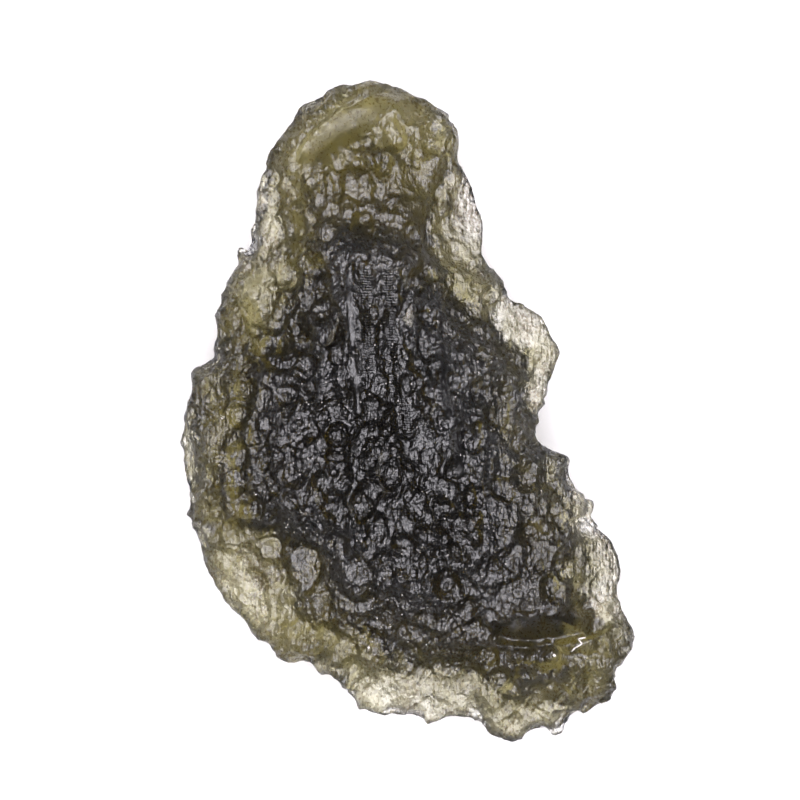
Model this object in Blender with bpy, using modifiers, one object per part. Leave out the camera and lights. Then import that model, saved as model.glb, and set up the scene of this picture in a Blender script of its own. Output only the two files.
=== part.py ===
"""Moldavite, a piece of natural olive glass: one thin-edged slab with a thick, dark middle and a pitted skin.

The stone lies on its back, the face that the light falls on upwards. +Y runs along its length towards the
narrow lobe, +X across it, and z = 0 is the plane of the small flat that it rests on.
"""

import math

import bmesh
import bpy
import numpy as np
from mathutils import Vector, kdtree, noise

MM = 0.001

# Driving dimensions, in millimetres
LENGTH = 33.0
WIDTH = 22.4
THIN = 3.2  # thickness of the pale lobes and margins
THICK = 9.9  # thickness of the dark middle
EDGE_ROUND = 1.3  # how far in from the edge the faces reach their full height
MARGIN = 5.0  # how far in from the edge the middle's lumps reach theirs
TOP_SHARE = 0.42  # of the thickness that lies above the edge
SAG = 0.0035  # how fast both ends drop, per square millimetre along
LEAN = 0.030  # how fast the edge rises from left to right
WAVE = (0.25, 0.45, 0.30)  # height of the edge's waves, and how fast they turn across and along
FLAT_DEPTH = 0.45  # how much of the lowest lump the resting flat has lost
DEEPEST = 0.32  # share of the thickness that pits can take from one face
EDGE_DEEPEST = 0.5  # share of a pit's distance from the edge that its depth can reach
SKIN_GRAIN = 0.15  # of the closed skin that is laid over the pitted shape
TRIANGLES = 9600

# The edge of the stone seen from above, clockwise from its tip: x, y and how far the edge bows out (or, if
# negative, is bitten in) on its way to the next point. It is drawn to LENGTH and WIDTH.
RIM = [
    (-1.85, 16.50, 0.05), (0.00, 15.90, -0.02), (0.45, 15.58, 0.05), (1.00, 15.48, 0.00), (2.05, 14.80, 0.05),
    (2.55, 14.20, -0.05), (2.60, 13.35, 0.00), (2.45, 12.10, 0.00), (2.80, 12.10, 0.03), (3.20, 11.10, 0.08),
    (3.80, 8.90, -0.03), (3.62, 7.95, 0.05), (3.80, 7.50, 0.05), (5.00, 5.85, -0.05), (5.10, 5.45, 0.13),
    (5.95, 5.10, 0.00), (6.60, 4.75, -0.05), (7.45, 3.00, 0.05), (7.35, 2.65, -0.08), (6.95, 0.75, -0.02),
    (6.60, 0.20, -0.03), (6.20, -0.08, 0.07), (6.45, -0.45, -0.34), (6.65, -1.75, 0.00), (7.80, -2.15, 0.02),
    (7.98, -2.35, -0.35), (8.90, -3.90, 0.05), (9.18, -4.30, -0.38), (9.95, -6.05, 0.00), (10.20, -6.55, 0.03),
    (10.60, -7.90, -0.15), (10.50, -9.40, 0.05), (10.85, -10.40, 0.00), (11.20, -10.85, 0.08),
    (11.05, -11.85, -0.08), (10.45, -12.80, -0.05), (10.35, -13.80, 0.08), (9.85, -14.40, -0.05),
    (8.95, -14.85, 0.00), (8.35, -15.10, 0.00), (7.70, -15.95, 0.05), (7.15, -16.15, 0.00),
    (6.70, -15.98, -0.02), (6.20, -16.05, -0.05), (5.60, -16.50, 0.03), (4.70, -16.45, -0.03),
    (3.80, -15.90, -0.05), (2.70, -15.10, 0.02), (2.25, -15.05, -0.02), (1.60, -15.30, 0.00),
    (0.95, -15.52, 0.03), (0.40, -15.20, -0.07), (-1.85, -15.25, 0.00), (-2.65, -14.70, 0.00),
    (-3.55, -13.50, 0.07), (-4.45, -12.85, -0.03), (-5.00, -12.62, 0.00), (-6.15, -12.40, 0.05),
    (-6.65, -12.12, 0.00), (-7.75, -11.00, 0.00), (-8.05, -10.40, -0.03), (-8.85, -9.80, 0.00),
    (-9.35, -8.90, -0.03), (-9.85, -8.35, 0.05), (-10.15, -7.40, -0.05), (-10.40, -6.10, -0.03),
    (-10.88, -5.55, 0.03), (-10.97, -4.40, -0.03), (-10.97, -3.55, 0.00), (-11.15, -2.90, -0.03),
    (-11.20, -2.15, 0.03), (-11.20, -0.90, 0.00), (-10.90, 0.35, -0.03), (-10.80, 1.70, 0.05),
    (-10.60, 2.12, -0.03), (-9.80, 2.60, 0.00), (-9.40, 3.70, -0.03), (-9.45, 4.35, 0.00),
    (-9.62, 4.80, 0.00), (-9.30, 5.85, 0.00), (-8.60, 6.95, -0.10), (-8.60, 7.90, 0.03),
    (-8.50, 8.20, -0.03), (-7.95, 8.40, 0.03), (-7.85, 9.00, -0.05), (-7.50, 10.45, -0.03),
    (-7.65, 11.05, 0.02), (-6.90, 12.85, 0.00), (-6.20, 14.10, 0.00), (-5.60, 14.85, 0.00),
    (-5.15, 15.35, 0.05), (-4.35, 15.72, 0.00), (-3.75, 16.28, 0.05), (-2.90, 16.25, 0.03),
]
HEART = (-0.40, -0.90)  # a point from which all of the edge can be seen
ARC_STEPS = 24
EDGE_WEAR = 0.13  # what laying the closed skin takes off the edge all round
CALM_ARC = 30  # degrees of the edge over which the stone's inner rings average out its cusps
CALM_STEPS = 31
CALM_POWER = 4

# Lumps that make the thick middle: x, y, radius across, radius along, turned by, share of THICK
SWELLS = [
    (-1.9, 3.5, 4.8, 6.0, 12, 0.80),
    (0.2, 0.0, 6.8, 6.2, 20, 0.80),
    (0.8, -5.2, 8.6, 5.6, -20, 0.85),
    (6.0, -12.0, 4.8, 3.4, 12, 0.42),
    (-6.4, 1.0, 3.2, 6.6, -12, 0.25),
]
SWELL_FALL = 2.1  # how abruptly a lump falls off at its outline

# Places worn or broken thin: x, y, radius across, radius along, turned by, share of the thickness left
THIN_SPOTS = [
    (-7.4, -8.2, 3.0, 2.5, 30, 0.55),
    (0.9, -13.9, 3.7, 2.0, -5, 0.41),
    (9.7, -7.6, 1.8, 3.2, 8, 0.34),
    (3.0, 10.4, 1.1, 2.2, 18, 0.36),
    (2.5, 8.8, 2.1, 3.0, 10, 0.48),
    (5.8, 4.6, 1.8, 1.4, -20, 0.32),
    (6.9, 1.6, 1.2, 2.2, 8, 0.45),
    (-7.3, 8.9, 1.6, 1.4, 30, 0.55),
    (-7.2, 11.2, 1.4, 1.7, 0, 0.65),
    (5.9, -15.6, 2.8, 1.4, 20, 0.55),
    (8.2, -3.0, 1.6, 1.8, -35, 0.65),
    (4.9, 6.4, 1.2, 1.8, -20, 0.70),
    (-6.4, 6.2, 1.4, 2.8, -12, 0.62),
]
SPOT_FALL = 4  # how abruptly a thin or smooth spot ends at its outline

# Dells of the upper face that stand out from a step away: x, y, radius across, radius along, turned by, depth
DELLS = [
    (-3.4, 14.1, 3.3, 1.15, 30, 0.75),
    (1.0, 14.9, 0.8, 0.5, -25, 0.35),
    (-1.7, 9.6, 1.1, 0.9, 0, 1.00),
    (-5.8, 9.1, 0.9, 0.6, 35, 0.55),
    (-6.8, 10.6, 0.9, 0.8, 0, 0.40),
    (-3.4, 12.6, 0.9, 1.3, 10, 0.35),
    (2.1, 11.0, 1.6, 0.8, -15, 0.50),
    (0.0, 11.4, 1.2, 1.0, 0, 0.35),
    (2.6, 8.9, 1.3, 1.0, -10, 0.45),
    (-5.9, 3.0, 1.5, 1.5, -40, 0.80),
    (3.0, 4.8, 1.4, 1.7, 0, 0.70),
    (4.7, 4.8, 0.8, 1.9, 6, 0.60),
    (6.0, 4.7, 1.3, 1.2, 0, 0.60),
    (4.0, 1.4, 1.5, 1.6, 0, 0.50),
    (5.3, -0.7, 1.3, 1.2, 0, 0.50),
    (8.0, -4.0, 1.3, 1.6, -30, 0.60),
    (9.0, -6.2, 1.0, 1.5, -10, 0.50),
    (6.2, -4.4, 1.6, 1.5, 0, 0.50),
    (6.0, -11.4, 3.3, 1.4, -6, 0.80),
    (5.6, -9.0, 1.6, 1.0, 0, 0.45),
    (2.9, -6.3, 0.9, 0.9, 0, 0.80),
    (0.4, -4.9, 1.1, 0.9, 0, 0.80),
    (-5.2, -0.7, 1.4, 1.0, 10, 0.50),
    (-5.2, -7.6, 1.2, 1.3, 0, 0.45),
    (-7.5, -8.0, 1.8, 1.1, -15, 0.40),
    (-2.4, -8.7, 1.0, 1.5, -10, 0.50),
    (-3.1, -11.9, 1.2, 1.2, 0, 0.45),
    (0.5, -13.4, 2.0, 1.4, 0, 0.50),
    (9.6, -13.0, 0.8, 1.2, -20, 0.40),
    (-8.8, 3.3, 0.8, 1.2, -20, 0.40),
    (-9.2, -6.6, 0.9, 1.6, -10, 0.30),
]

# Furrows of the upper face, from end to end: x and y of both ends, width, depth
FURROWS = [
    (-2.2, 7.2, -1.7, 1.6, 0.55, 0.50),
    (-0.6, 6.9, -0.1, -0.8, 0.60, 0.55),
    (-3.2, 7.6, -2.4, -0.4, 0.42, 0.45),
    (0.9, 7.2, 1.2, 1.8, 0.55, 0.50),
    (-4.9, 7.5, -4.7, 4.4, 0.60, 0.50),
    (-3.9, 2.6, -3.5, -1.9, 0.55, 0.45),
    (0.9, -0.9, 1.6, -5.4, 0.65, 0.60),
    (-0.8, -2.0, -0.2, -7.6, 0.60, 0.50),
    (-4.0, -3.2, -3.1, -7.2, 0.60, 0.50),
    (2.7, -1.2, 3.4, -5.2, 0.65, 0.55),
    (4.4, -3.6, 4.9, -8.2, 0.55, 0.45),
    (-6.6, 7.2, -7.2, 4.4, 0.55, 0.45),
    (-7.6, -0.2, -7.4, -3.6, 0.65, 0.45),
    (3.5, -11.8, 3.2, -14.2, 0.60, 0.45),
    (-1.2, -9.8, -0.6, -12.4, 0.60, 0.45),
]

# Places of the upper face that are nearly free of pits: x, y, radius across, radius along, turned by
SMOOTH_SPOTS = [
    (-3.4, 14.1, 3.2, 1.2, 30),
    (6.6, -11.2, 3.2, 1.5, -6),
    (9.0, -5.0, 1.4, 2.4, -30),
    (4.9, 5.8, 1.0, 2.4, -25),
    (10.0, -13.2, 1.0, 2.0, -20),
    (-8.0, 7.9, 1.0, 0.7, 20),
    (-2.8, 3.4, 0.5, 4.2, 6),
]

# The all-over sculpture: width of a pit, how much longer than wide it is, and its depth
PITS = [(3.2, 1.3, 0.80), (1.40, 1.45, 0.60)]
PIT_BOWL = 1.9  # how fast a pit shallows out from its middle
PIT_VARIETY = 0.55  # how far a pit's own depth strays from the depth above
CALM = 0.75  # share of their depth that pits lose in a smooth spot
SWAY = (3.5, 0.35)  # length and reach, in millimetres, of the wandering that keeps pits out of rows
SWAY_DRAW = 1795599304  # which wandering every run takes; with none named, the clock draws it
SMOOTH_UNDERSIDE = 3.4  # radius of the worn ground of the underside, round the resting flat
SPHERE_STEPS = 7
BALL_EDGE = 1e-6  # height within which a point of the ball counts as on its equator
LEAST = 1e-6  # keeps a pit of no depth from being divided by nothing


def arc(start, end, bow):
    """Points from start towards end along an arc whose middle stands off to the left by bow."""
    run = end - start
    left = np.array([-run[1], run[0]]) / np.linalg.norm(run)
    share = np.arange(ARC_STEPS)[:, None] / ARC_STEPS
    return start + share * run + 4 * bow * share * (1 - share) * left


def rim_line():
    """The edge of the stone as a closed line of points, clockwise, so that outwards is to the left."""
    points = np.array([(x, y) for x, y, _ in RIM])
    low, high = points.min(axis=0), points.max(axis=0)
    points = (points - (low + high) / 2) * (WIDTH, LENGTH) / (high - low)
    following = np.roll(points, -1, axis=0)
    arcs = [arc(a, b, bow) for a, b, (_, _, bow) in zip(points, following, RIM)]
    return np.concatenate(arcs)


def reach_of_rim(line):
    """A function that gives the edge's distance from HEART in each direction."""
    spokes = line - HEART
    angle = np.unwrap(np.arctan2(spokes[:, 1], spokes[:, 0]))[::-1]
    reach = np.linalg.norm(spokes, axis=1)[::-1] + EDGE_WEAR
    return lambda turn: np.interp(turn, angle, reach, period=2 * math.pi)


def ring_reach(line, turn, out):
    """Distance from HEART of the ring at a share out of the way to the edge. Inner rings have no cusps."""
    reach = reach_of_rim(line)
    spread = np.radians(np.linspace(-CALM_ARC / 2, CALM_ARC / 2, CALM_STEPS))
    calm = sum(reach(turn + step) for step in spread) / CALM_STEPS
    return out * (calm + (reach(turn) - calm) * out**CALM_POWER)


def turned(points, x, y, across, along, degrees):
    """The distance of each point from an oval at x, y: 0 at its middle and 1 on its outline."""
    c, s = math.cos(math.radians(degrees)), math.sin(math.radians(degrees))
    dx, dy = points[:, 0] - x, points[:, 1] - y
    return np.hypot((dx * c + dy * s) / across, (dy * c - dx * s) / along)


def thickness(points, inside):
    """How thick the stone is at each point, seen from above, before its skin is pitted."""
    hollow = np.ones(len(points))
    for x, y, across, along, degrees, share in SWELLS:
        hollow *= 1 - share * np.exp(-(turned(points, x, y, across, along, degrees) ** SWELL_FALL))
    made = THIN + (THICK - THIN) * (1 - hollow) * np.clip(inside / MARGIN, 0, 1)
    for x, y, across, along, degrees, left in THIN_SPOTS:
        made *= 1 - (1 - left) * np.exp(-(turned(points, x, y, across, along, degrees) ** SPOT_FALL))
    return made


def bend(points):
    """Height of the slab's middle sheet, which sags a little towards both ends."""
    x, y = points[:, 0], points[:, 1]
    height, across, along = WAVE
    return LEAN * x - SAG * y**2 + height * np.sin(across * x + along * y)


def distance_to(line, points):
    """Distance of each point from the edge line."""
    tree = kdtree.KDTree(len(line))
    for index, (x, y) in enumerate(line):
        tree.insert((x, y, 0), index)
    tree.balance()
    return np.array([tree.find((x, y, 0))[2] for x, y in points])


def dells(points):
    """Depth of the named dells and furrows of the upper face. Where they overlap, the deepest one counts."""
    depth = np.zeros(len(points))
    for x, y, across, along, degrees, deep in DELLS:
        bowl = 1 - turned(points, x, y, across, along, degrees) ** 2
        depth = np.maximum(depth, deep * bowl)
    for x0, y0, x1, y1, width, deep in FURROWS:
        run = np.array([x1 - x0, y1 - y0])
        share = np.clip(((points - (x0, y0)) @ run) / (run @ run), 0, 1)
        off = np.linalg.norm(points - (x0, y0) - share[:, None] * run, axis=1)
        depth = np.maximum(depth, deep * (1 - (off / width) ** 2))
    return depth


def smoothness(points):
    """1 in the middle of a smooth spot and 0 away from them all."""
    calm = np.zeros(len(points))
    for spot in SMOOTH_SPOTS:
        calm = np.maximum(calm, np.exp(-(turned(points, *spot) ** SPOT_FALL)))
    return calm


def pit_depth(place, width, stretch, depth):
    """Depth at one place of a coat of bowl-shaped pits that meet in sharp crests."""
    spot = Vector((place[0] / width, place[1] / (width * stretch), place[2] / width))
    distances, middles = noise.voronoi(spot)
    own = 1 + PIT_VARIETY * noise.noise(middles[0] * 7.3)
    return depth * own * max(0.0, 1 - PIT_BOWL * distances[0] ** 2)


def pitted(points):
    """Depth of the all-over pits at each point of the skin."""
    length, reach = SWAY
    found = np.zeros(len(points))
    for index, point in enumerate(points):
        place = Vector(point)
        place += reach * noise.noise_vector(place / length)
        found[index] = sum(pit_depth(place, *coat) for coat in PITS)
    return found


def stone_mesh():
    """A ball drawn out to the edge line, raised to the stone's thickness and pitted."""
    bm = bmesh.new()
    bmesh.ops.create_icosphere(bm, subdivisions=SPHERE_STEPS, radius=1)
    mesh = bpy.data.meshes.new("moldavite")
    bm.to_mesh(mesh)
    bm.free()

    ball = np.empty(len(mesh.vertices) * 3, np.float32)
    mesh.vertices.foreach_get("co", ball)
    ball = ball.reshape(-1, 3).astype(float)
    upper = ball[:, 2] > 0
    level = np.hypot(ball[:, 0], ball[:, 1])
    at_edge = np.abs(ball[:, 2]) < BALL_EDGE
    out = 0.5 * level + 0.5 * np.arcsin(np.clip(level, 0, 1)) / (math.pi / 2)
    turn = np.arctan2(ball[:, 1], ball[:, 0])
    line = rim_line()
    spokes = np.stack([np.cos(turn), np.sin(turn)], axis=1)
    plan = HEART + ring_reach(line, turn, out)[:, None] * spokes

    inside = np.where(at_edge, 0, distance_to(line, plan))
    rise = np.sqrt(1 - (1 - np.clip(inside / EDGE_ROUND, 0, 1)) ** 2)
    full = rise * thickness(plan, inside)
    height = bend(plan) + np.where(upper, TOP_SHARE, TOP_SHARE - 1) * full
    skin = np.column_stack([plan, height])
    mesh.vertices.foreach_set("co", (skin * MM).astype(np.float32).ravel())
    mesh.update()

    normals = np.empty(len(skin) * 3, np.float32)
    mesh.vertices.foreach_get("normal", normals)
    normals = normals.reshape(-1, 3).astype(float)
    depth = pitted(skin)
    depth *= 1 - np.where(upper, CALM * smoothness(plan), 0)
    depth += np.where(upper, dells(plan), 0)
    worn = np.exp(-((np.linalg.norm(plan - HEART, axis=1) / SMOOTH_UNDERSIDE) ** SPOT_FALL))
    depth *= np.where(upper, 1, 1 - worn)
    most = np.minimum(DEEPEST * full, EDGE_DEEPEST * inside)
    depth *= most / (most + np.maximum(depth, LEAST))
    skin -= normals * depth[:, None]
    mesh.vertices.foreach_set("co", (skin * MM).astype(np.float32).ravel())
    mesh.update()
    return mesh


def glass():
    """Olive natural glass."""
    material = bpy.data.materials.new("moldavite glass")
    material.use_nodes = True
    shader = material.node_tree.nodes["Principled BSDF"]
    shader.inputs["Base Color"].default_value = (0.62, 0.62, 0.42, 1)
    shader.inputs["Roughness"].default_value = 0.15
    shader.inputs["Metallic"].default_value = 0
    shader.inputs["IOR"].default_value = 1.49
    shader.inputs["Transmission Weight"].default_value = 1
    return material


def moldavite(collection):
    """The stone, thinned to few triangles and worn flat where it rests."""
    stone = bpy.data.objects.new("moldavite", stone_mesh())
    stone.data.materials.append(glass())
    collection.objects.link(stone)
    bpy.context.view_layer.objects.active = stone
    skin = stone.modifiers.new("closed skin", "REMESH")
    skin.mode = "VOXEL"
    skin.voxel_size = SKIN_GRAIN * MM
    bpy.ops.object.modifier_apply(modifier=skin.name)
    fewer = stone.modifiers.new("fewer faces", "DECIMATE")
    fewer.ratio = TRIANGLES / (2 * len(stone.data.polygons))
    bpy.ops.object.modifier_apply(modifier=fewer.name)

    skin = np.array([vertex.co for vertex in stone.data.vertices])
    low, high = skin.min(axis=0), skin.max(axis=0)
    skin -= (low + high) / 2 * (1, 1, 0) + (0, 0, low[2] + FLAT_DEPTH * MM)
    skin[:, 2] = np.maximum(skin[:, 2], 0)
    stone.data.vertices.foreach_set("co", skin.astype(np.float32).ravel())
    stone.data.update()


def main():
    noise.seed_set(SWAY_DRAW)
    for old in list(bpy.data.objects):
        bpy.data.objects.remove(old)
    collection = bpy.data.collections.new("Moldavite")
    bpy.context.scene.collection.children.link(collection)
    moldavite(collection)


main()
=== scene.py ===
import math

import bpy
import numpy as np
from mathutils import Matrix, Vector, noise
from mathutils.bvhtree import BVHTree


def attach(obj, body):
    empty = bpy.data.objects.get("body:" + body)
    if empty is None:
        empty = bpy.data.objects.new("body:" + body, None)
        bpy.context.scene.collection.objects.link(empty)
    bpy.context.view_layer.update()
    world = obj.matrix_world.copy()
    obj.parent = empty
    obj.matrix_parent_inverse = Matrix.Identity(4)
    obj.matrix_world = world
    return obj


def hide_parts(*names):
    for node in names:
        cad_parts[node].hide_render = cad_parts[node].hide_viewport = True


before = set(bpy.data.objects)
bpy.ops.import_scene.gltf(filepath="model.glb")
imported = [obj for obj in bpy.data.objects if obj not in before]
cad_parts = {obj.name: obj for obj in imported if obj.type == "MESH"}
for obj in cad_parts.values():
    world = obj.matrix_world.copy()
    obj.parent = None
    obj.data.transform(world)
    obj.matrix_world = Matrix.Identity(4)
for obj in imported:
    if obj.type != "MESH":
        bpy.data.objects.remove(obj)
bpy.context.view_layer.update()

MM = 0.001

# Lengths are in millimetres down to the light and the floor, which are in metres.
# x runs right across the photograph, y up it and z towards the camera.

# Skin of the stone
SEAM = 0.001  # points of the CAD stone that lie this close are one
SKIN_GRAIN = 0.085
SKIN_TRIANGLES = 196000
FACET_ROUNDING = (0.5, 6)  # strength and number of the smoothings

# Coats of etch pits: width, how much longer than wide, depth, how much the depth varies
PIT_COATS = [
    (1.10, 1.25, 0.38, 1.3),
    (0.48, 1.35, 0.14, 1.6),
]
# Broad dells of the underside, given in the same way; through the glass they show as patches
DELL_COAT = [(2.6, 1.3, 0.75, 1.2)]
PIT_BOWL = 2.4  # the higher, the narrower each pit in its own patch of skin
PIT_LOT = 7.3  # spreads the pits over the noise that draws their depths
MOOD = (3.4, 0.55)  # size of the patches that are etched more or less, and by how much
SWAY = (2.2, 0.30)  # length and reach of the wandering that keeps pits out of rows
SWAY_DRAW = 3  # which wandering every run takes; with none named, the clock draws it

# How deep the relief is from place to place
UNDERSIDE_SHARE = 0.4  # of the pits' depth
ROOM = 4.0  # the stone is felt this deep, and dells are full where it is this thick
JUST_INSIDE = 0.01  # where the feeling starts
HIGH_ABOVE = 20  # over the whole stone, from where its upper face is looked for
FULL_DEPTH_FROM = 1.4  # where the stone is thinner than this, the pits are shallower
LEAST_DEPTH = 0.2  # share of their depth that pits keep in the thinnest flakes
RIM_RISE = 3  # how soon named relief and dells come in from the upright rim
PIT_RIM_RISE = 2  # the same for the pits, from the underside's depth to full
UPPER_FACE = 0.2  # level patches are cut where the skin faces up more than this

# Half-round channels that run down the dark middle, with fine ribs across them:
# x and y of both ends, width, depth
RIBBED_CHANNELS = [
    (-2.08, 6.8, -1.90, 2.2, 0.45, 0.07),
    (-0.95, 6.6, -0.60, 0.8, 0.42, 0.07),
    (-0.35, 0.6, 0.05, -0.9, 0.45, 0.07),
]
# Smooth bars that stand up beside them
SMOOTH_BARS = [
    (-2.98, 6.9, -2.68, 2.9, 0.30, 0.14),
    (-2.68, 2.9, -2.38, 0.0, 0.30, 0.14),
    (1.6, 3.0, 2.1, -0.2, 0.35, 0.08),
    (2.3, -0.6, 2.6, -3.0, 0.35, 0.08),
]
# Steep troughs, dark from above: x and y of both ends, width, depth
TROUGHS = [
    (3.7, -12.1, 9.5, -12.1, 0.60, 0.30),
    (-6.9, 4.2, -6.0, 2.9, 0.45, 0.30),
    (-3.6, 4.3, -3.4, 2.6, 0.45, 0.35),
]
# Deep round pits: x, y, radius across, radius along, depth
ROUND_PITS = [
    (-5.3, 1.0, 0.80, 1.20, 0.30),
    (0.3, -4.3, 0.95, 0.75, 0.35),
    (2.9, -5.5, 0.80, 0.62, 0.35),
    (-2.3, 9.4, 0.80, 1.10, 0.30),
    (-2.95, 1.5, 0.45, 0.42, 0.22),
    (3.1, 4.6, 0.95, 1.35, 0.25),
    (-6.75, 10.4, 0.55, 0.52, 0.15),
]
# Level patches that shine grey, each with a dark step round it: x, y, half width, half length
LEVEL_PATCHES = [
    (-5.1, -7.7, 0.75, 1.10),
    (-6.9, -6.8, 0.70, 0.50),
    (-3.1, -11.9, 0.60, 0.80),
    (-2.5, -8.2, 0.70, 1.10),
    (-0.1, -5.7, 0.45, 0.60),
    (5.6, -9.0, 1.10, 0.80),
    (4.0, -10.2, 0.40, 0.50),
    (0.3, -2.2, 0.40, 0.60),
    (-2.5, 11.3, 0.70, 0.80),
    (-3.4, 12.6, 0.40, 0.75),
    (-6.8, 10.5, 0.70, 0.65),
    (-6.9, 11.6, 0.60, 0.45),
    (-3.3, 7.1, 0.35, 0.90),
    (-4.0, 8.9, 0.45, 0.55),
    (-5.2, 7.2, 0.35, 0.45),
    (-5.1, 5.6, 0.45, 0.70),
    (-6.1, 2.6, 0.60, 0.60),
    (-3.3, 3.0, 0.40, 0.60),
    (0.4, 2.3, 0.40, 0.45),
    (0.0, 3.3, 0.35, 0.40),
    (-5.0, 1.2, 0.40, 0.40),
    (-5.3, -0.7, 0.60, 0.40),
    (1.9, -3.8, 0.60, 0.60),
    (5.1, -13.9, 0.45, 0.45),
    (7.2, -13.9, 0.35, 0.45),
    (-7.1, -0.7, 0.35, 0.50),
]
PATCH_CROWN = 0.06  # how far their middles stand above their edges
# Small bubbles that stand up out of the skin: x, y, radius, height
BUBBLES = [
    (-5.32, -0.52, 0.24, 0.10),
    (-5.0, 1.32, 0.30, 0.10),
    (5.3, -8.75, 0.28, 0.09),
    (5.9, -8.55, 0.28, 0.09),
    (6.4, -8.9, 0.26, 0.09),
    (-3.0, 11.2, 0.26, 0.09),
    (2.6, 7.3, 0.28, 0.08),
    (1.9, 10.9, 0.35, 0.09),
    (1.3, 1.3, 0.26, 0.08),
]

# Calm places, hardly pitted: x, y, half width, half length, turn in degrees, share of the pits
# that is gone, and how far the place slants down from its upper long side to its lower one
CALM_PLACES = [
    (-3.1, 14.1, 3.2, 0.9, 220, 0.90, 0.40),
    (7.1, -10.7, 2.8, 0.8, 7, 0.90, 0.70),
    (-0.5, 11.5, 5.5, 4.5, 0, 0.35, 0),
    (-7.5, -8.0, 2.5, 3.0, 0, 0.30, 0),
]
# How far out an area reaches, with 1 on its outline, and how sharply it ends
CALM_EDGE = (1.25, 2)
SLANT_EDGE = (1.15, 5)
PATCH_EDGE = (1.15, 4)
# Other forms are calm as well: share of the pits that is gone, and how far past the form
PATCH_CALM = (0.8, 1.5)
LINE_CALM = (0.9, 1.3)

# Dust on the upper face: x, y, radius of single crumbs, then a field of fine dust and painted
# glints
DUST = [
    (7.28, -12.08, 0.11),
    (-1.92, -11.68, 0.09),
    (-10.55, -4.45, 0.07),
    (-9.18, -0.33, 0.06),
    (-5.28, -3.08, 0.05),
    (-7.48, -4.08, 0.05),
    (6.6, -3.9, 0.05),
    (9.3, -9.8, 0.05),
]
# The fine white crumbs are partly dust and partly painted glints, white specks where the glass
# sparkles
FINE_DUST_AND_GLINTS = 420
FINE_DUST_AND_GLINT_FIELD = (-0.4, -3.4, 6.8, 8.8)  # centre and half sizes
FINE_DUST_AND_GLINT_SIZE = (0.018, 0.042)
DUST_DRAW = 7  # starts the chance that places the fine crumbs
CRUMB_FLATNESS = (1, 0.75, 0.55)
CRUMB_CORNER = 1.5  # how far one corner is drawn out
# Bends of the piece of lint, lower right
LINT_BENDS = [(8.78, -11.15), (8.42, -11.22), (8.60, -11.45), (8.25, -11.66), (8.10, -11.84)]
LINT_RADIUS = 0.045
LINT_SIDES = 6

# Relief that is too fine to model: size of its marks along x, y and z, and their height
GRAIN_SIZE = (0.13, 0.16, 0.13)
GRAIN_HEIGHT = 0.060
FLOW_LINE_SIZE = (0.11, 1.4, 0.11)
FLOW_LINE_HEIGHT = 0.045
BOWL_SIZE = (0.28, 0.322, 0.28)
BOWL_HEIGHT = 0.085
RIB_SIZE = (0.13, 0.13, 0.13)
RIB_HEIGHT = 0.025
RIB_BEND = 3  # how far the ribs wander
RIB_BEND_SIZE = 0.6
WAVE_TURN = 20  # radians that Blender's wave pattern runs through in one step

# Grime and painted shade in the fine recesses: its tint, its grain and its patches, how much
# the patches count, and the heights of grain below which they are full and above which they
# are gone
GRIME_AND_SHADE = (0.42, 0.36, 0.30)
GRIME_AND_SHADE_GRAIN = (0.13, 0.18, 0.13)
GRIME_AND_SHADE_PATCH = (1.3, 2.2, 1.3)
GRIME_AND_SHADE_PATCH_SHARE = 0.5
GRIME_AND_SHADE_FROM = 0.58
GRIME_AND_SHADE_TO = 0.74

GLASS_ROUGHNESS = 0.30
GLASS_IOR = 1.49
ABSORPTION_PER_MM = (0.41, 0.45, 0.79)
ABSORPTION_DENSITY = 800.0

DUST_BROWN = (0.30, 0.27, 0.22)
DUST_AND_GLINT_WHITE = (0.75, 0.74, 0.72)
DUST_TINT_SIZE = (1.5, 1.5, 1.5)
DUST_ROUGHNESS = 0.8

CAMERA_DISTANCE = 200
VIEW_WIDTH = 40
VIEW_CENTRE = (-0.375, 0.575)
VIEW_LEVEL = 4  # the height at which VIEW_WIDTH is measured
SENSOR_WIDTH = 36

# The light and the floor, in metres
FLOOR_WIDTH = 0.8
FLOOR_LEVEL = -0.00005
FLOOR_GREY = 0.66
FLOOR_ROUGHNESS = 0.9
BOX_WIDTH = 0.34
BOX_LEVEL = 0.18
BOX_RADIANCE = 9.5
BOX_COLOUR = (0.97, 0.94, 1.0)
BOX_MIDDLE = (0.5, 0.5, 0)  # in box widths
BOX_FADE = (0.15, 0.50)  # from where to where it fades, in box widths from its middle
SKY_COLOUR = (0.95, 0.95, 1.0)
SKY_STRENGTH = 0.15
NEAREST_SEEN = 0.01


def only(piece):
    """Selects this piece alone."""
    bpy.ops.object.select_all(action="DESELECT")
    piece.select_set(True)
    bpy.context.view_layer.objects.active = piece


def apply(piece, modifier):
    """Makes the modifier's work part of the piece."""
    only(piece)
    bpy.ops.object.modifier_apply(modifier=modifier.name)


def raw_stone():
    """A closed, fine-grained copy of the CAD stone, its facets rounded off."""
    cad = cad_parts["moldavite"]
    stone = bpy.data.objects.new("moldavite_glass", cad.data.copy())
    bpy.context.scene.collection.objects.link(stone)
    stone.data.materials.clear()
    only(stone)
    bpy.ops.object.mode_set(mode="EDIT")
    bpy.ops.mesh.select_all(action="SELECT")
    bpy.ops.mesh.remove_doubles(threshold=SEAM * MM)
    bpy.ops.object.mode_set(mode="OBJECT")
    skin = stone.modifiers.new("skin", "REMESH")
    skin.mode = "VOXEL"
    skin.voxel_size = SKIN_GRAIN * MM
    apply(stone, skin)
    rounding = stone.modifiers.new("rounding", "SMOOTH")
    rounding.factor, rounding.iterations = FACET_ROUNDING
    apply(stone, rounding)
    return stone


def read(stone, what):
    """Points or normals of the skin, one row each."""
    values = np.empty(len(stone.data.vertices) * 3, np.float32)
    stone.data.vertices.foreach_get(what, values)
    return values.reshape(-1, 3).astype(float)


def from_oval(points, x, y, across, along):
    """0 at the middle of an oval and 1 on its outline."""
    return np.hypot((points[:, 0] - x) / across, (points[:, 1] - y) / along)


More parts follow.
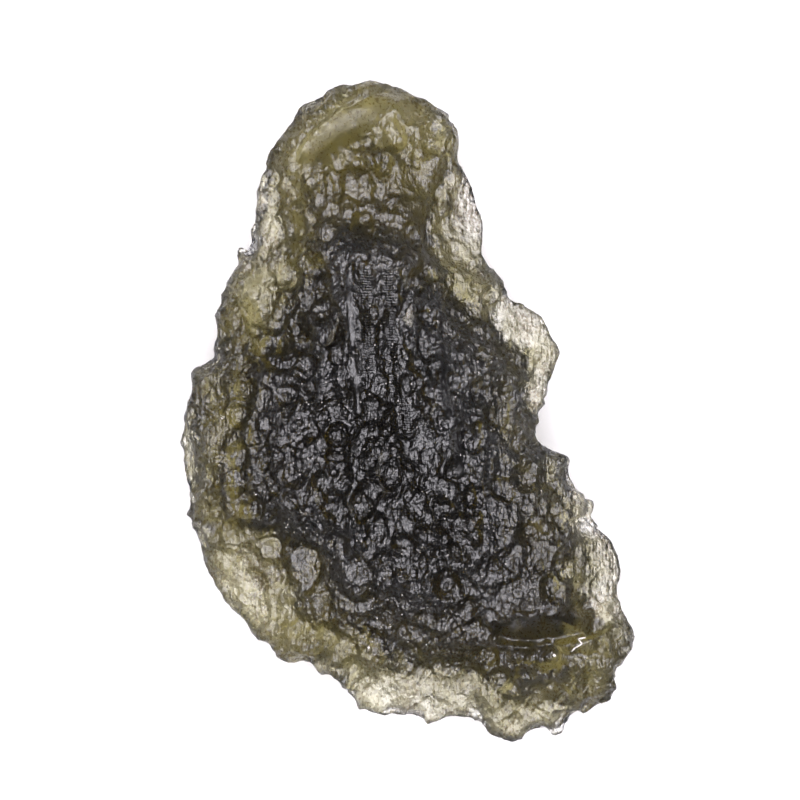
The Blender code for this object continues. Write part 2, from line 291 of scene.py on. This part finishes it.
def from_line(points, x0, y0, x1, y1):
    """Distance of each point from a line, seen from above."""
    start, run = np.array([x0, y0]), np.array([x1 - x0, y1 - y0])
    share = np.clip((points[:, :2] - start) @ run / (run @ run), 0, 1)
    return np.linalg.norm(points[:, :2] - start - share[:, None] * run, axis=1)


def turned(points, x, y, turn):
    """Places of the points seen from x, y along axes turned by turn degrees."""
    cosine, sine = math.cos(math.radians(turn)), math.sin(math.radians(turn))
    right, up = points[:, 0] - x, points[:, 1] - y
    return np.stack([right * cosine + up * sine, up * cosine - right * sine], axis=1)


def bowl(distance):
    """1 in the middle, 0 and level at the outline."""
    return np.clip(1 - distance**2, 0, 1) ** 2


def inside(distance, edge):
    """1 inside an outline, falling to 0 past its edge."""
    reach, sharpness = edge
    return np.clip((reach - distance) * sharpness, 0, 1)


def in_calm_place(points, x, y, across, along, turn):
    """1 in a calm place, falling to 0 round it."""
    places = turned(points, x, y, turn)
    return inside(from_oval(places, 0, 0, across, along), CALM_EDGE)


def on_lines(points, lines):
    """1 along the middle of any of these channels or bars, 0 beside them."""
    most = np.zeros(len(points))
    for x0, y0, x1, y1, width, _ in lines:
        most = np.maximum(most, bowl(from_line(points, x0, y0, x1, y1) / width))
    return most


def on_skin(stone, x, y):
    """The point of the upper face above x, y, or None beside the stone."""
    above = Vector((x * MM, y * MM, HIGH_ABOVE * MM))
    found, place, _, _ = stone.ray_cast(above, Vector((0, 0, -1)))
    return place if found else None


def room_below(stone, points, normals):
    """How far it is from each point straight through the stone, at most ROOM."""
    tree = BVHTree.FromObject(stone, bpy.context.evaluated_depsgraph_get())
    room = np.full(len(points), ROOM)
    for index, (point, normal) in enumerate(zip(points, normals)):
        inward = Vector(-normal)
        just_inside = Vector(point * MM) + inward * JUST_INSIDE * MM
        distance = tree.ray_cast(just_inside, inward, ROOM * MM)[3]
        if distance is not None:
            room[index] = distance / MM
    return room


def etched(points, coats):
    """How deep the coats of pits lie at each point."""
    length, reach = SWAY
    patch, swing = MOOD
    depths = np.zeros(len(points))
    for index, point in enumerate(points):
        place = Vector(point)
        place += reach * noise.noise_vector(place / length)
        mood = 1 + swing * noise.noise(place / patch)
        for width, stretch, depth, variety in coats:
            spot = Vector((place.x / width, place.y / (width * stretch), place.z / width))
            distances, middles = noise.voronoi(spot)
            own = 1 + variety * noise.noise(middles[0] * PIT_LOT)
            depths[index] += mood * depth * own * max(0.0, 1 - PIT_BOWL * distances[0] ** 2)
    return depths


def slanted(points):
    """How far the slanted facets lie below the skin."""
    depth = np.zeros(len(points))
    for x, y, across, along, turn, _, fall in CALM_PLACES:
        places = turned(points, x, y, turn)
        area = inside(from_oval(places, 0, 0, across, along), SLANT_EDGE)
        depth += fall * area * np.clip(0.5 - places[:, 1] / along / 2, 0, 1)
    return depth


def named_relief(points):
    """Height of the named facets, channels, bars, troughs, pits and bubbles."""
    height = -slanted(points)
    for lines, way in ((RIBBED_CHANNELS, -1), (SMOOTH_BARS, 1), (TROUGHS, -1)):
        for x0, y0, x1, y1, width, rise in lines:
            height += way * rise * bowl(from_line(points, x0, y0, x1, y1) / width)
    for x, y, across, along, depth in ROUND_PITS:
        height -= depth * bowl(from_oval(points, x, y, across, along))
    for x, y, radius, rise in BUBBLES:
        height += rise * bowl(from_oval(points, x, y, radius, radius))
    return height


def pitted_share(points):
    """1 where the upper face is fully pitted, less on calm places and named forms."""
    share = np.ones(len(points))
    for x, y, across, along, turn, gone, _ in CALM_PLACES:
        share *= 1 - gone * in_calm_place(points, x, y, across, along, turn)
    gone, past = PATCH_CALM
    for x, y, across, along in LEVEL_PATCHES:
        share *= 1 - gone * bowl(from_oval(points, x, y, across, along) / past)
    gone, past = LINE_CALM
    for x0, y0, x1, y1, width, _ in RIBBED_CHANNELS + SMOOTH_BARS:
        share *= 1 - gone * bowl(from_line(points, x0, y0, x1, y1) / width / past)
    return share


def pit_depth_share(points, facing_up, room):
    """Share of their full depth that the pits have at each point."""
    upper = np.clip(facing_up * PIT_RIM_RISE + 0.5, 0, 1)
    share = UNDERSIDE_SHARE + (1 - UNDERSIDE_SHARE) * upper
    share *= np.clip(room / FULL_DEPTH_FROM, LEAST_DEPTH, 1)
    share *= np.where(facing_up > 0, pitted_share(points), 1)
    return share


def relief(stone, points, normals):
    """How far each point of the skin moves out, or in where it is below 0."""
    facing_up = normals[:, 2]
    above = np.clip(facing_up * RIM_RISE, 0, 1)
    below = np.clip(-facing_up * RIM_RISE, 0, 1)
    room = room_below(stone, points, normals)
    pits = etched(points, PIT_COATS) * pit_depth_share(points, facing_up, room)
    dells = etched(points, DELL_COAT) * below * np.clip(room / ROOM, 0, 1)
    return named_relief(points) * above - pits - dells


def levelled(stone, points, normals):
    """The points, with the level patches cut into the upper face."""
    points = points.copy()
    for x, y, across, along in LEVEL_PATCHES:
        off = from_oval(points, x, y, across, along)
        area = inside(off, PATCH_EDGE) * (normals[:, 2] > UPPER_FACE)
        level = on_skin(stone, x, y).z / MM - PATCH_CROWN * off**2
        points[:, 2] += area * (level - points[:, 2])
    return points


def thin_out(stone):
    """Brings the skin down to SKIN_TRIANGLES."""
    triangles = sum(len(face.vertices) - 2 for face in stone.data.polygons)
    thinning = stone.modifiers.new("thinning", "DECIMATE")
    thinning.ratio = min(1, SKIN_TRIANGLES / triangles)
    apply(stone, thinning)


def etched_stone():
    """The whole stone with all the relief that is modelled, on the floor."""
    noise.seed_set(SWAY_DRAW)
    stone = raw_stone()
    points, normals = read(stone, "co") / MM, read(stone, "normal")
    height = relief(stone, points, normals)
    moved = (levelled(stone, points, normals) + normals * height[:, None]) * MM
    stone.data.vertices.foreach_set("co", moved.astype(np.float32).ravel())
    stone.data.update()
    thin_out(stone)
    for vertex in stone.data.vertices:
        vertex.co.z = max(vertex.co.z, 0)
    only(stone)
    bpy.ops.object.shade_smooth()
    return stone


def mark_skin(stone):
    """Marks where the skin has ribs and where it is smooth, for the glass to read."""
    points, normals = read(stone, "co") / MM, read(stone, "normal")
    ribbed, smooth = on_lines(points, RIBBED_CHANNELS), on_lines(points, SMOOTH_BARS)
    for x, y, across, along, turn, gone, _ in CALM_PLACES:
        smooth = np.maximum(smooth, gone * in_calm_place(points, x, y, across, along, turn))
    upper = normals[:, 2] > 0
    unused, solid = np.zeros(len(points)), np.ones(len(points))
    marks = np.stack([ribbed * upper, smooth * upper, unused, solid], axis=1)
    layer = stone.data.attributes.new("skin marks", "FLOAT_COLOR", "POINT")
    layer.data.foreach_set("color", marks.astype(np.float32).ravel())


def worked(tree, operation, first, second):
    """What an operation makes of two numbers or sockets."""
    step = tree.nodes.new("ShaderNodeMath")
    step.operation = operation
    for socket, value in zip(step.inputs, (first, second)):
        if isinstance(value, (int, float)):
            socket.default_value = value
        else:
            tree.links.new(value, socket)
    return step.outputs["Value"]


def mixed(tree, share, first, last):
    """A colour that goes from the first to the last as share goes from 0 to 1."""
    mix = tree.nodes.new("ShaderNodeMix")
    mix.data_type = "RGBA"
    tree.links.new(share, mix.inputs["Factor"])
    mix.inputs["A"].default_value = (*first, 1)
    mix.inputs["B"].default_value = (*last, 1)
    return mix.outputs["Result"]


def in_steps(tree):
    """A Mapping node that counts Object coordinates in steps of its Scale."""
    place = tree.nodes.new("ShaderNodeTexCoord")
    steps = tree.nodes.new("ShaderNodeMapping")
    steps.vector_type = "TEXTURE"
    tree.links.new(place.outputs["Object"], steps.inputs["Vector"])
    return steps


def in_metres(size):
    """A size along x, y and z, turned from millimetres."""
    return [length * MM for length in size]


def grain_group():
    """Evenly spread grain, 0 to 1, that the glass and the dust share."""
    tree = bpy.data.node_groups.new("grain", "ShaderNodeTree")
    tree.interface.new_socket("Grain Size", in_out="INPUT", socket_type="NodeSocketVector")
    tree.interface.new_socket("Detail", in_out="INPUT", socket_type="NodeSocketFloat")
    tree.interface.new_socket("Grain", in_out="OUTPUT", socket_type="NodeSocketFloat")
    given = tree.nodes.new("NodeGroupInput")
    steps = in_steps(tree)
    tree.links.new(given.outputs["Grain Size"], steps.inputs["Scale"])
    cloud = tree.nodes.new("ShaderNodeTexNoise")
    cloud.inputs["Scale"].default_value = 1
    tree.links.new(given.outputs["Detail"], cloud.inputs["Detail"])
    tree.links.new(steps.outputs["Vector"], cloud.inputs["Vector"])
    result = tree.nodes.new("NodeGroupOutput")
    tree.links.new(cloud.outputs["Fac"], result.inputs["Grain"])


def grain(tree, size, detail):
    """Grain of this size along x, y and z, from the shared group."""
    group = tree.nodes.new("ShaderNodeGroup")
    group.node_tree = bpy.data.node_groups["grain"]
    group.inputs["Grain Size"].default_value = in_metres(size)
    group.inputs["Detail"].default_value = detail
    return group.outputs["Grain"]


def bowls(tree):
    """Small bowls side by side, 0 at their bottoms, that meet in sharp ridges."""
    steps = in_steps(tree)
    steps.inputs["Scale"].default_value = in_metres(BOWL_SIZE)
    cells = tree.nodes.new("ShaderNodeTexVoronoi")
    cells.inputs["Scale"].default_value = 1
    tree.links.new(steps.outputs["Vector"], cells.inputs["Vector"])
    return worked(tree, "MULTIPLY", cells.outputs["Distance"], cells.outputs["Distance"])


def ribs(tree):
    """Fine ribs across the channels, 0 to 1."""
    steps = in_steps(tree)
    steps.inputs["Scale"].default_value = in_metres(RIB_SIZE)
    bands = tree.nodes.new("ShaderNodeTexWave")
    bands.wave_type = "BANDS"
    bands.bands_direction = "Y"
    bands.inputs["Scale"].default_value = 2 * math.pi / WAVE_TURN
    bands.inputs["Distortion"].default_value = RIB_BEND
    bands.inputs["Detail"].default_value = 0
    bands.inputs["Detail Scale"].default_value = RIB_BEND_SIZE
    tree.links.new(steps.outputs["Vector"], bands.inputs["Vector"])
    return bands.outputs["Fac"]


def fine_skin(tree):
    """Height in millimetres of the grain, flow lines, bowls and ribs."""
    marks = tree.nodes.new("ShaderNodeAttribute")
    marks.attribute_name = "skin marks"
    where = tree.nodes.new("ShaderNodeSeparateColor")
    tree.links.new(marks.outputs["Color"], where.inputs["Color"])
    ribbed, smooth = where.outputs["Red"], where.outputs["Green"]
    grains = worked(tree, "MULTIPLY", grain(tree, GRAIN_SIZE, 1), GRAIN_HEIGHT)
    lines = worked(tree, "MULTIPLY", grain(tree, FLOW_LINE_SIZE, 0), FLOW_LINE_HEIGHT)
    hollows = worked(tree, "MULTIPLY", bowls(tree), BOWL_HEIGHT)
    rough = worked(tree, "ADD", worked(tree, "ADD", grains, lines), hollows)
    rough = worked(tree, "MULTIPLY", rough, worked(tree, "SUBTRACT", 1, smooth))
    raised = worked(tree, "MULTIPLY", worked(tree, "MULTIPLY", ribs(tree), ribbed), RIB_HEIGHT)
    return worked(tree, "ADD", rough, raised)


def grime_and_shade(tree):
    """Tint: clear, with dark grime and painted shade in the skin's recesses, thicker in
    patches.
    """
    patches = worked(tree, "MULTIPLY", grain(tree, GRIME_AND_SHADE_PATCH, 1), GRIME_AND_SHADE_PATCH_SHARE)
    ramp = tree.nodes.new("ShaderNodeMapRange")
    ramp.interpolation_type = "SMOOTHSTEP"
    ramp.inputs["From Min"].default_value = GRIME_AND_SHADE_FROM
    ramp.inputs["From Max"].default_value = GRIME_AND_SHADE_TO
    height = worked(tree, "ADD", grain(tree, GRIME_AND_SHADE_GRAIN, 1), patches)
    tree.links.new(height, ramp.inputs["Value"])
    return mixed(tree, ramp.outputs["Result"], GRIME_AND_SHADE, (1, 1, 1))


def olive_glass():
    """See-through glass that is olive, yellow or black by its thickness, with grime and
    painted shade.
    """
    material = bpy.data.materials.new("olive glass")
    material.use_nodes = True
    tree = material.node_tree
    shader = tree.nodes["Principled BSDF"]
    # Base colour: grime and painted shade, dark specks and patches that dim the glass
    tree.links.new(grime_and_shade(tree), shader.inputs["Base Color"])
    shader.inputs["Roughness"].default_value = GLASS_ROUGHNESS
    shader.inputs["IOR"].default_value = GLASS_IOR
    shader.inputs["Transmission Weight"].default_value = 1
    bump = tree.nodes.new("ShaderNodeBump")
    bump.inputs["Distance"].default_value = MM
    tree.links.new(fine_skin(tree), bump.inputs["Height"])
    tree.links.new(bump.outputs["Normal"], shader.inputs["Normal"])
    body = tree.nodes.new("ShaderNodeVolumeAbsorption")
    body.inputs["Density"].default_value = ABSORPTION_DENSITY
    colour = [1 - per_mm / MM / ABSORPTION_DENSITY for per_mm in ABSORPTION_PER_MM]
    body.inputs["Color"].default_value = (*colour, 1)
    tree.links.new(body.outputs["Volume"], tree.nodes["Material Output"].inputs["Volume"])
    return material


def pale_dust_and_glints():
    """Off-white crumbs, dust and painted glints, some of them browner."""
    material = bpy.data.materials.new("pale dust and glints")
    material.use_nodes = True
    tree = material.node_tree
    shader = tree.nodes["Principled BSDF"]
    shader.inputs["Roughness"].default_value = DUST_ROUGHNESS
    tint = mixed(tree, grain(tree, DUST_TINT_SIZE, 1), DUST_BROWN, DUST_AND_GLINT_WHITE)
    tree.links.new(tint, shader.inputs["Base Color"])
    return material


def crumb_shape():
    """One crumb of dust, a little flattened and lopsided, of radius 1."""
    bpy.ops.object.select_all(action="DESELECT")
    bpy.ops.mesh.primitive_ico_sphere_add(subdivisions=1, radius=1, location=(0, 0, 0))
    crumb = bpy.context.object
    bpy.ops.object.mode_set(mode="EDIT")
    bpy.ops.transform.resize(value=CRUMB_FLATNESS, center_override=(0, 0, 0))
    bpy.ops.object.mode_set(mode="OBJECT")
    crumb.data.vertices[0].co *= CRUMB_CORNER
    return crumb


def crumb_places(chance):
    """x, y and radius of each crumb, the single ones first."""
    x, y, across, along = FINE_DUST_AND_GLINT_FIELD
    crumbs = list(DUST)
    for _ in range(FINE_DUST_AND_GLINTS):
        angle, reach = chance.uniform(0, 2 * math.pi), chance.uniform(0, 1) ** 0.5
        right, up = across * reach * math.cos(angle), along * reach * math.sin(angle)
        crumbs.append((x + right, y + up, chance.uniform(*FINE_DUST_AND_GLINT_SIZE)))
    return crumbs


def scattered_crumbs(stone):
    """The crumbs where they lie on the upper face, each turned its own way."""
    chance = np.random.default_rng(DUST_DRAW)
    places = crumb_places(chance)
    pattern = crumb_shape()
    crumbs = []
    for x, y, radius in places:
        place = on_skin(stone, x, y)
        if place is None:
            continue
        crumb = bpy.data.objects.new("crumb", pattern.data.copy())
        bpy.context.scene.collection.objects.link(crumb)
        crumb.location = place
        crumb.rotation_euler.z = chance.uniform(0, math.pi)
        crumb.scale = (radius * MM,) * 3
        crumbs.append(crumb)
    bpy.data.objects.remove(pattern)
    return crumbs


def lint(stone):
    """A bent piece of lint, one straight stretch for each pair of bends."""
    radius = LINT_RADIUS * MM
    bends = [on_skin(stone, x, y) + Vector((0, 0, radius)) for x, y in LINT_BENDS]
    stretches = []
    for start, end in zip(bends, bends[1:]):
        run = end - start
        bpy.ops.mesh.primitive_cylinder_add(
            vertices=LINT_SIDES, radius=radius, depth=run.length, location=(start + end) / 2)
        stretch = bpy.context.object
        stretch.rotation_mode = "QUATERNION"
        stretch.rotation_quaternion = run.to_track_quat("Z", "Y")
        stretches.append(stretch)
    return stretches


def dust_and_glints(stone):
    """White crumbs of dust and painted glints, and a piece of lint, on the upper face, as one
    piece.
    """
    grains = scattered_crumbs(stone) + lint(stone)
    bpy.ops.object.select_all(action="DESELECT")
    for piece in grains:
        piece.select_set(True)
    bpy.context.view_layer.objects.active = grains[0]
    bpy.ops.object.join()
    heap = bpy.context.object
    heap.name = "dust_and_glints"
    bpy.ops.object.transform_apply(location=True, rotation=True, scale=True)
    bpy.ops.object.shade_smooth()
    return heap


def floor():
    """White paper just under the stone."""
    bpy.ops.object.select_all(action="DESELECT")
    bpy.ops.mesh.primitive_plane_add(size=FLOOR_WIDTH, location=(0, 0, FLOOR_LEVEL))
    sheet = bpy.context.object
    sheet.name = "floor"
    paper = bpy.data.materials.new("white paper")
    paper.use_nodes = True
    shader = paper.node_tree.nodes["Principled BSDF"]
    shader.inputs["Base Color"].default_value = (FLOOR_GREY, FLOOR_GREY, FLOOR_GREY, 1)
    shader.inputs["Roughness"].default_value = FLOOR_ROUGHNESS
    sheet.data.materials.append(paper)


def soft_edge(light):
    """Lets the light fade from its middle to its edge."""
    light.use_nodes = True
    nodes, links = light.node_tree.nodes, light.node_tree.links
    place = nodes.new("ShaderNodeNewGeometry")
    off = nodes.new("ShaderNodeVectorMath")
    off.operation = "DISTANCE"
    off.inputs[1].default_value = BOX_MIDDLE
    links.new(place.outputs["Parametric"], off.inputs[0])
    fade = nodes.new("ShaderNodeMapRange")
    fade.interpolation_type = "SMOOTHSTEP"
    fade.inputs["From Min"].default_value, fade.inputs["From Max"].default_value = BOX_FADE
    fade.inputs["To Min"].default_value = 1
    fade.inputs["To Max"].default_value = 0
    links.new(off.outputs["Value"], fade.inputs["Value"])
    links.new(fade.outputs["Result"], nodes["Emission"].inputs["Strength"])


def lights():
    """One wide softbox overhead and a faint even light from all round."""
    world = bpy.data.worlds.new("studio")
    bpy.context.scene.world = world
    world.use_nodes = True
    sky = world.node_tree.nodes["Background"]
    sky.inputs["Color"].default_value = (*SKY_COLOUR, 1)
    sky.inputs["Strength"].default_value = SKY_STRENGTH
    box = bpy.data.lights.new("softbox", "AREA")
    box.shape = "RECTANGLE"
    box.size = BOX_WIDTH
    box.size_y = BOX_WIDTH
    box.energy = BOX_RADIANCE * math.pi * box.size * box.size_y
    box.color = BOX_COLOUR
    soft_edge(box)
    lamp = bpy.data.objects.new("softbox", box)
    lamp.location = (0, 0, BOX_LEVEL)
    bpy.context.scene.collection.objects.link(lamp)


def camera():
    """Looks straight down, as in the photograph."""
    lens = bpy.data.cameras.new("camera")
    lens.sensor_width = SENSOR_WIDTH
    lens.lens = SENSOR_WIDTH * CAMERA_DISTANCE / VIEW_WIDTH
    lens.clip_start = NEAREST_SEEN
    eye = bpy.data.objects.new("camera", lens)
    x, y = VIEW_CENTRE
    eye.location = (x * MM, y * MM, (CAMERA_DISTANCE + VIEW_LEVEL) * MM)
    bpy.context.scene.collection.objects.link(eye)
    bpy.context.scene.camera = eye


grain_group()
stone = etched_stone()
mark_skin(stone)
stone.data.materials.append(olive_glass())
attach(stone, "root")
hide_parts("moldavite")
crumbs = dust_and_glints(stone)
crumbs.data.materials.clear()
crumbs.data.materials.append(pale_dust_and_glints())
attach(crumbs, "root")

floor()
lights()
camera()
bpy.context.scene.view_settings.view_transform = "Standard"
